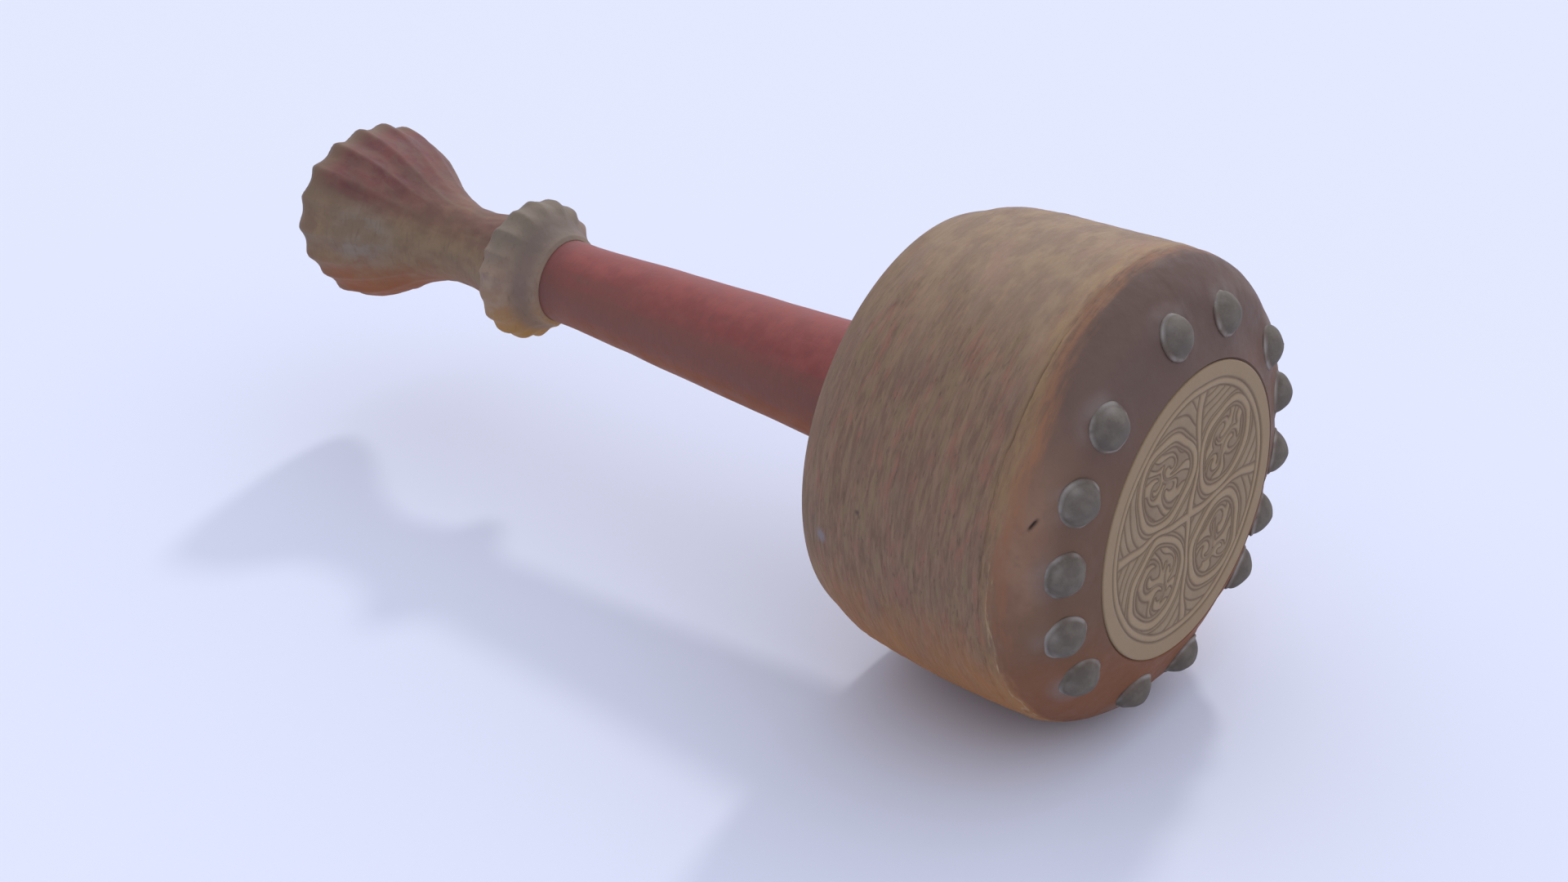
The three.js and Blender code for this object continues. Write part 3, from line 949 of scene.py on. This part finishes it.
def stripes(y, z, turn):
    """Height across straight stripes whose places are twisted round three centres."""
    for n in range(3):
        angle = math.radians(turn + 120 * n)
        cy, cz = CURL_OFFSET * math.sin(angle), CURL_OFFSET * math.cos(angle)
        dy, dz = y - cy, z - cz
        twist = CURL_TURN * np.exp(-((np.hypot(dy, dz) / CURL_REACH) ** 2))
        y = cy + dy * np.cos(twist) - dz * np.sin(twist)
        z = cz + dy * np.sin(twist) + dz * np.cos(twist)
    side = math.radians(turn + 25)
    return y * math.cos(side) + z * math.sin(side)


def roundel(y, z, radius, turn):
    """Grooves and tone of a roundel, whose centre is at 0, 0."""
    reach = np.hypot(y, z)
    marks = [groove(reach - radius + width, DEEP_WIDTH) for width in RING_WIDTHS]
    inside = reach < radius - RING_WIDTHS[-1]
    across = stripes(y, z, turn)
    step = 0.01
    along_y, along_z = stripes(y + step, z, turn) - across, stripes(y, z + step, turn) - across
    slope = np.hypot(along_y, along_z) / step
    crowded = rise(slope, 2.2, 4.5)
    ribbons = groove(repeated(across, RIBBON_PITCH) / slope, DEEP_WIDTH)
    marks.append(ribbons * inside * (1 - 0.75 * crowded))
    tone = 0.75 * ((across / RIBBON_PITCH + 0.5) % 2 < 1) * (1 - crowded)
    tone = np.where(inside, tone, 1.0)
    ring = (reach > radius - RING_WIDTHS[2]) & (reach < radius - RING_WIDTHS[1])
    tone = np.where(ring, 0.3, tone)
    return np.maximum.reduce(marks), tone


def ornament(y, z):
    """For places on the patch: groove depth 0 to 1, tone (1 where pale), and 1 on the rim."""
    lumps = Lumps(104)
    place = np.stack([y, z, np.zeros_like(y)], axis=-1)
    sway, swell = lumps.rough(place, 15, 2), lumps.rough(place + 50, 15, 2)
    edge = np.hypot(y, z) + 0.35 * sway
    y, z = y + 2.0 * sway, z + 2.0 * swell
    depth, tone = np.zeros_like(y), np.zeros_like(y)
    edges = []
    for number, (cy, cz, radius) in enumerate(ROUNDELS):
        away = np.hypot(y - cy, z - cz) - radius
        marks, pale = roundel(y - cy, z - cz, radius, 30 + 77 * number)
        depth = np.where(away < 0, marks, np.maximum(depth, groove(away, DEEP_WIDTH)))
        tone = np.where(away < 0, pale, tone)
        edges.append(away)
    edges = np.sort(np.stack(edges), axis=0)
    outside = edges[0] > 0
    between = (edges[1] - edges[0]) / 2 - CROSS_HALF_WIDTH
    lines = groove(repeated(edges[0] + 0.3, LINE_PITCH)) * (between > 0)
    depth = np.where(outside, np.maximum.reduce([depth, lines, groove(between)]), depth)
    tone = np.where(outside, np.where(between < 0, 1.0, 0.45), tone)
    field = edge < FIELD_RADIUS
    tone = np.where(field, tone, 1.0)
    border_end = FIELD_RADIUS + BORDER_WIDTH
    marks = [depth * field, groove(edge - FIELD_RADIUS, 0.36), groove(edge - border_end, 0.4)]
    return np.maximum.reduce(marks), tone, rise(edge, border_end - 0.1, border_end + 0.4)


def tooled_patch():
    """The patch, with the ornament's grooves pressed into its face."""
    bevel = 0.3 * MM
    front = spaced([[0, 0], [0, PATCH_RADIUS - bevel]], 0.24 * MM)
    outline = [*front, [bevel, PATCH_RADIUS], [PATCH_DEPTH, PATCH_RADIUS], [PATCH_DEPTH, 0]]
    surface = Turned(outline, PATCH_SEGMENTS)
    points = surface.points()
    depth, tone, rim = ornament(points[..., 1] / MM, (points[..., 2] - AXIS_Z) / MM)
    face = (surface.station < 0.01 * MM) * 1.0
    uneven = 0.05 * MM * (1 + Lumps(105).rough(points, 6 * MM, 3) / 2)
    sunk = 0.12 * MM * (1 - rim) + 0.12 * MM * (1 - tone)
    surface.push(-face * (0.35 * MM * depth + uneven + sunk))
    marks = {"groove": depth * face, "tone": tone * face, "rim": rim}
    surface.make("tooled_patch", patch_look(), "patch_hide", "ornament_patch", **marks)


# A nail's flange: distances from its axis as shares of its radius, and heights above its foot.
# Its dome is a superellipse in section, a little sharper than an ellipse, whose power would be 2.
FLANGE_FOOT = -0.9 * MM
FLANGE = [[0.98, FLANGE_FOOT], [1.05, -0.2 * MM], [1.06, 0.2 * MM], [1.01, 0.55 * MM]]
DOME_RADIUS = 0.97
DOME_POWER = 1.65
DOME_START = 0.16
DOME_RINGS = 14


def nail_profile(nail):
    """Flange and dome of a nail, from below to above, in the terms of FLANGE."""
    shares = np.sin(np.linspace(DOME_START, math.pi / 2, DOME_RINGS))
    widths = DOME_RADIUS * (1 - shares**DOME_POWER) ** (1 / DOME_POWER)
    dome = np.stack([widths, nail.height * shares], axis=-1)
    return np.array([[0, FLANGE_FOOT], *FLANGE, *dome[:-1], [0, nail.height]])


def nail_head(node, number, material):
    """A hand-forged dome with a thin flange that is pressed into the hide."""
    nail = NAILS[node]
    rng = np.random.default_rng(200 + number)
    lumps = Lumps(300 + number, 16)
    profile = nail_profile(nail)
    angle = np.arange(NAIL_SEGMENTS) * 2 * math.pi / NAIL_SEGMENTS
    axis = nail.axis + [0, *rng.normal(0, 0.035, 2)]
    axis /= np.linalg.norm(axis)
    side = np.cross(axis, [1, 0, 0])
    side /= np.linalg.norm(side)
    other = np.cross(axis, side)
    size = nail.radius * rng.uniform(0.96, 1.03)
    ring = np.cos(angle)[:, None] * side + np.sin(angle)[:, None] * other
    width, lift = profile.T[..., None, None]
    out = width * size * ring
    base = nail.foot + out + lift * axis
    dents = 0.3 * MM * lumps.rough(base, 4.5 * MM, 2)
    points = base + dents[..., None] * (out / size + 0.6 * axis) * (width > 0)
    aside = ring @ (nail.down / np.linalg.norm(nail.down))
    height = profile[1:-1, 1][:, None] / nail.height
    rim = groove(height - 0.1, 0.09) * rise(np.abs(aside), 0.0, 0.6)
    # The face mark is a painted highlight on the dome; the rim mark is pale wear.
    face = groove(height - 0.42, 0.22) * groove(aside - 0.72, 0.22) * 0.6
    rubbed_and_highlight = np.maximum(rim, face) * rise(lumps.rough(points[1:-1], 3 * MM, 2), -0.7, 0.5)
    # Painted light at the foot of the stud, on its upslope side.
    foot_light = rise(height, 0.4, 0.0) * rise(aside, 0.5, -0.4) * np.ones(rubbed_and_highlight.shape)
    marks = {"rubbed_and_highlight": np.append(rubbed_and_highlight, [0, 0]), "foot_light": np.append(foot_light, [0, 0])}
    make_piece(f"nail_head_{number:02d}", *skin(points), material, "stud_iron", node, **marks)


def red_grip():
    """The red grip, with its bare tenons inside the head and the pommel."""
    stem_start, stem_end = BOARD_END + 0.05 * MM, COLLAR_START + 3.2 * MM
    stem = wall_outline("grip", 2.5 * MM, BOARD_END + GAP + 0.05 * MM, stem_end, softness=3)
    stem[0][0] = stem_start
    outline = [
        [TENON_START, 0],
        [TENON_START, TENON_RADIUS],
        [stem_start, TENON_RADIUS],
        *spaced(stem, 0.8 * MM),
        [stem_end, REAR_TENON_RADIUS],
        [TENON_END, REAR_TENON_RADIUS],
        [TENON_END, 0],
    ]
    surface = Turned(outline, HANDLE_SEGMENTS // 2)
    shown = (surface.radius > TENON_RADIUS + 0.05 * MM) * 1.0
    lumps = Lumps(106).rough(surface.points(), (26 * MM, 14 * MM, 14 * MM), 3)
    relief = 0.25 * MM * lumps - 0.1 * MM
    free = surface.past(stem_start, stem_start + 6 * MM)
    free *= surface.past(COLLAR_START - 1 * MM, COLLAR_START - 8 * MM)
    surface.push(shown * relief * free)
    surface.make("red_grip", grip_look(), "grip_wood", "grip")


# The carved flutes: how many, how many directions round them are measured, and the angle of
# each piece's first ridge from the top, in degrees.
FLUTES = 18
FLUTE_TURNS = 8 * FLUTES
COLLAR_RIDGE = 4
POMMEL_RIDGE = 16

# How far the collar's rim stands out past the frame's.
RIM_FULLNESS = 0.3 * MM


def fluted(surface, node, ridge, lumps, share):
    """Carves a share of the CAD node's flutes. Gives 1 on the ridges and 0 in the hollows."""
    low, high = span(node)
    stations = np.linspace(low + 0.1 * MM, high - 0.1 * MM, 24)
    ridges, hollows = (wall(node, stations, pick, turns=FLUTE_TURNS) for pick in (max, min))
    depth = np.interp(surface.station, stations, ridges - hollows)
    ring = around(surface.angle)
    wander = 0.04 * lumps.rough(ring, 0.7, 2)
    wave = np.sin(FLUTES * (surface.angle + wander - math.radians(ridge)) / 2)
    hollow = np.sqrt(wave**2 + 0.03) - 0.1
    uneven = 1.1 + 0.35 * lumps.rough(ring + 9, 0.35, 2)
    surface.push(share * depth * uneven * (0.6 - hollow))
    return share * rise(depth, 0, 1 * MM) * rise(hollow, 0.35, 0.07)


def fluted_collar():
    """The fluted collar, dished towards the grip."""
    bore = REAR_TENON_RADIUS + GAP
    socket = wall("grip", [COLLAR_START])[0] + 0.08 * MM
    socket_end = COLLAR_START + 3.5 * MM
    walls = wall_outline("collar", 0.8 * MM, choose=np.mean, turns=FLUTE_TURNS, softness=1)
    walls[0][1] = socket + 0.15 * MM
    outline = [
        [socket_end, bore],
        [socket_end, socket],
        [COLLAR_START, socket],
        *spaced(walls, 0.4 * MM),
        [COLLAR_END, bore],
        [socket_end, bore],
    ]
    surface = Turned(outline, HANDLE_SEGMENTS)
    lumps = Lumps(107)
    outer = rise(surface.radius, socket + 0.6 * MM, socket + 3 * MM)
    # Painted shade mark for the dished front.
    dish = surface.past(COLLAR_START + 9.5 * MM, COLLAR_START + 6 * MM)
    carved = outer * surface.past(COLLAR_START + 6.5 * MM, COLLAR_START + 11.5 * MM)
    fluted(surface, "collar", COLLAR_RIDGE, lumps, carved)
    surface.push(outer * (0.3 * MM * lumps.rough(surface.points(), 7 * MM, 3) - 0.1 * MM))
    surface.radius += RIM_FULLNESS * rise(surface.radius, 18 * MM, 21 * MM)
    surface.make("fluted_collar", collar_look(), "collar_wood", "collar", dish=outer * dish)


# The part of the pommel that still has its red paint: its middle, and how wide to either side.
PAINT_MIDDLE = math.radians(358)
PAINT_REACH = math.radians(58)


def paint_left(surface, lumps):
    """How much red paint is left on the pommel: streaks that run along it."""
    along = 22 * MM * around(surface.angle)
    along[..., 0] = surface.station / 6
    streaks = lumps.rough(along, 5.5 * MM, 3)
    apart = np.abs((surface.angle - PAINT_MIDDLE + math.pi) % (2 * math.pi) - math.pi)
    zone = rise(PAINT_REACH - apart + 0.16 * streaks, -0.25, 0.15)
    return zone * rise(streaks, -1.1, -0.2) * rise(POMMEL_END - surface.station, 0.5 * MM, 5 * MM)


def fluted_pommel():
    """The pommel: a waisted neck that flares to a fluted rim, with a flat end."""
    bore = REAR_TENON_RADIUS + GAP
    walls = wall_outline("pommel", 1.6 * MM, choose=np.mean, turns=FLUTE_TURNS, softness=1)
    end_radius = walls[-1][1] - 1.0 * MM
    outline = [
        [TENON_END + GAP, 0],
        [TENON_END + GAP, bore],
        [POMMEL_START, bore],
        *spaced([*walls, [POMMEL_END, end_radius]], 0.5 * MM),
        *spaced([[POMMEL_END, end_radius], [POMMEL_END, 0]], 1.0 * MM)[1:],
    ]
    surface = Turned(outline, HANDLE_SEGMENTS)
    lumps = Lumps(108)
    outer = rise(surface.radius, bore + 0.5 * MM, bore + 2.5 * MM)
    flat = surface.past(POMMEL_END - 0.6 * MM, POMMEL_END)
    shaped = surface.past(POMMEL_END - 42 * MM, POMMEL_END - 16 * MM)
    surface.radius += shaped * outer * out_of_round(surface, RIM_SHAPE)
    carved = 0.6 + 0.5 * surface.past(POMMEL_END - 22 * MM, POMMEL_END - 6 * MM)
    centred = flat * rise(end_radius - surface.radius, 0, 8 * MM)
    # The mark given on the ridges is used as a painted highlight.
    ridge = fluted(surface, "pommel", POMMEL_RIDGE, lumps, outer * carved * (1 - centred))
    uneven = lumps.rough(surface.points(), (14 * MM, 9 * MM, 9 * MM), 3)
    relief = 0.4 * MM * uneven - 0.35 * MM
    surface.push(outer * relief * (1 - flat))
    surface.station = np.minimum(surface.station, POMMEL_END)
    marks = {"ridge": ridge, "paint": outer * paint_left(surface, lumps)}
    surface.make("fluted_pommel", pommel_look(), "pommel_wood", "pommel", **marks)


# ---- the whole drum ----

make_camera()
make_floor()
make_light()
barrel_hoop()
rear_board()
hide_cover()
tooled_patch()
STUD_LOOK = stud_look()
for stud_number, stud_node in enumerate(STUD_NODES, start=1):
    nail_head(stud_node, stud_number, STUD_LOOK)
red_grip()
fluted_collar()
fluted_pommel()

INNER_LOOK = inner_wood_look()
for inner_node in ("shoulder_ring", "hub_block", "tenon_wedge"):
    inner_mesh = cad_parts[inner_node].data
    inner_mesh.materials.clear()
    inner_mesh.materials.append(INNER_LOOK)
